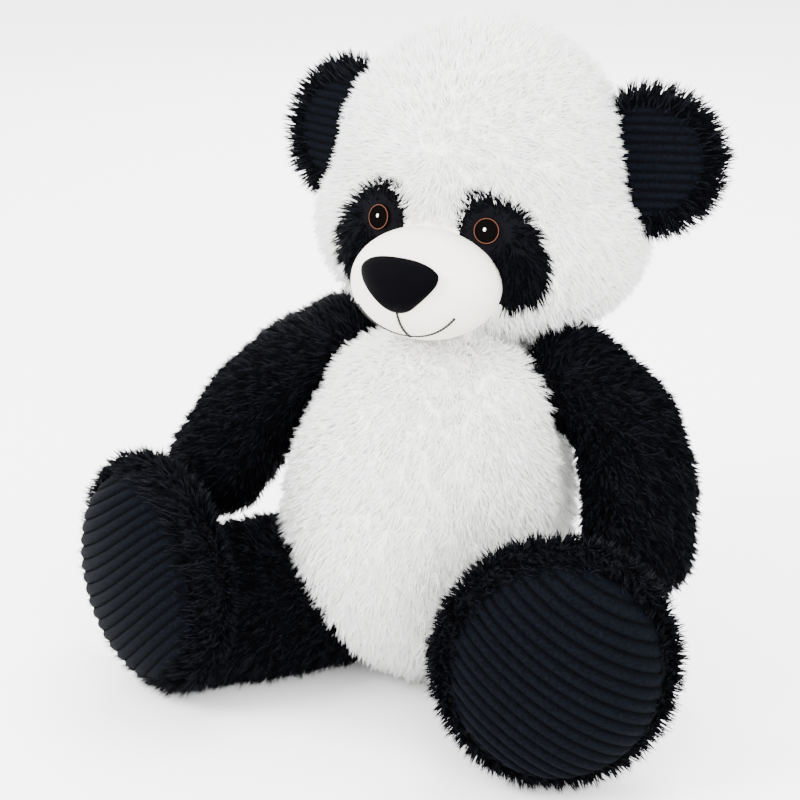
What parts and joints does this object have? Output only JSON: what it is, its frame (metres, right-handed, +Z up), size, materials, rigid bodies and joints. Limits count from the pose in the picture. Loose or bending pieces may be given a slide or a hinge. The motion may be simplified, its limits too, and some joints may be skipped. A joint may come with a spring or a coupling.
{
  "type": "plush panda",
  "caption": "Large seated stuffed toy panda in black and white plush with corduroy ears and soles, soft-jointed head, ears, arms and legs.",
  "frame": {"origin": "middle of the flat seat, on the surface that the toy sits on", "axes": "+Z up, the toy faces -Y, and its own left side is +X"},
  "size_m": [0.4748, 0.3893, 0.518],
  "materials": {
    "white_plush": "matte",
    "black_plush": "matte",
    "black_corduroy": "matte",
    "cream_velour": "matte",
    "nose_satin": "satin",
    "black_thread": "satin",
    "rust_thread": "satin",
    "white_thread": "satin",
    "fibre_filling": "matte",
    "pellet_filling": "matte"
  },
  "bodies": {
    "torso": {"belly_panel": "white_plush", "back_left_panel": "white_plush", "back_right_panel": "white_plush", "seat_panel": "white_plush", "torso_stuffing": "fibre_filling", "seat_pellet_bag": "pellet_filling"},
    "neck": {"neck_stuffing": "fibre_filling"},
    "head": {"face_left_panel": "white_plush", "face_right_panel": "white_plush", "head_back_left_panel": "white_plush", "head_back_right_panel": "white_plush", "head_stuffing": "fibre_filling", "muzzle_cover": "cream_velour", "muzzle_stuffing": "fibre_filling", "nose": "nose_satin", "mouth_stitching": "black_thread", "left_eye_patch": "black_plush", "left_eye_ring": "rust_thread", "left_eye_pupil": "black_thread", "left_eye_glint": "white_thread", "right_eye_patch": "black_plush", "right_eye_ring": "rust_thread", "right_eye_pupil": "black_thread", "right_eye_glint": "white_thread"},
    "left_ear": {"left_ear_front": "black_corduroy", "left_ear_back": "black_plush"},
    "right_ear": {"right_ear_front": "black_corduroy", "right_ear_back": "black_plush"},
    "left_arm": {"left_arm_front_panel": "black_plush", "left_arm_back_panel": "black_plush", "left_arm_stuffing": "fibre_filling"},
    "right_arm": {"right_arm_front_panel": "black_plush", "right_arm_back_panel": "black_plush", "right_arm_stuffing": "fibre_filling"},
    "left_leg": {"left_leg_inner_panel": "black_plush", "left_leg_outer_panel": "black_plush", "left_foot_sole": "black_corduroy", "left_leg_stuffing": "fibre_filling"},
    "right_leg": {"right_leg_inner_panel": "black_plush", "right_leg_outer_panel": "black_plush", "right_foot_sole": "black_corduroy", "right_leg_stuffing": "fibre_filling"}
  },
  "joints": [
    {"name": "neck_turn", "type": "hinge", "parent": "torso", "child": "neck", "pos_m": [0, 0.068, 0.262], "axis": [0, 0, 1], "range_deg": [-30, 30], "stiffness_Nm_per_rad": 1.5},
    {"name": "head_nod", "type": "hinge", "parent": "neck", "child": "head", "pos_m": [0, 0.068, 0.262], "axis": [1, 0, 0], "range_deg": [-8, 8], "stiffness_Nm_per_rad": 4},
    {"name": "left_ear_fold", "type": "hinge", "parent": "head", "child": "left_ear", "pos_m": [0.133, 0.114, 0.408], "axis": [-0.3081, 0.1633, 0.9372], "range_deg": [-25, 25], "stiffness_Nm_per_rad": 0.1},
    {"name": "right_ear_fold", "type": "hinge", "parent": "head", "child": "right_ear", "pos_m": [-0.133, 0.114, 0.408], "axis": [-0.3081, -0.1633, -0.9372], "range_deg": [-25, 25], "stiffness_Nm_per_rad": 0.1},
    {"name": "left_shoulder_swing", "type": "hinge", "parent": "torso", "child": "left_arm", "pos_m": [0.09, 0.054, 0.226], "axis": [1, 0, 0], "range_deg": [-30, 20], "stiffness_Nm_per_rad": 1.5},
    {"name": "right_shoulder_swing", "type": "hinge", "parent": "torso", "child": "right_arm", "pos_m": [-0.09, 0.054, 0.226], "axis": [1, 0, 0], "range_deg": [-30, 20], "stiffness_Nm_per_rad": 1.5},
    {"name": "left_hip_splay", "type": "hinge", "parent": "torso", "child": "left_leg", "pos_m": [0.068, -0.015, 0.06], "axis": [0, 0, 1], "range_deg": [-8, 15], "stiffness_Nm_per_rad": 1.5},
    {"name": "right_hip_splay", "type": "hinge", "parent": "torso", "child": "right_leg", "pos_m": [-0.068, -0.015, 0.06], "axis": [0, 0, -1], "range_deg": [-8, 15], "stiffness_Nm_per_rad": 1.5}
  ]
}
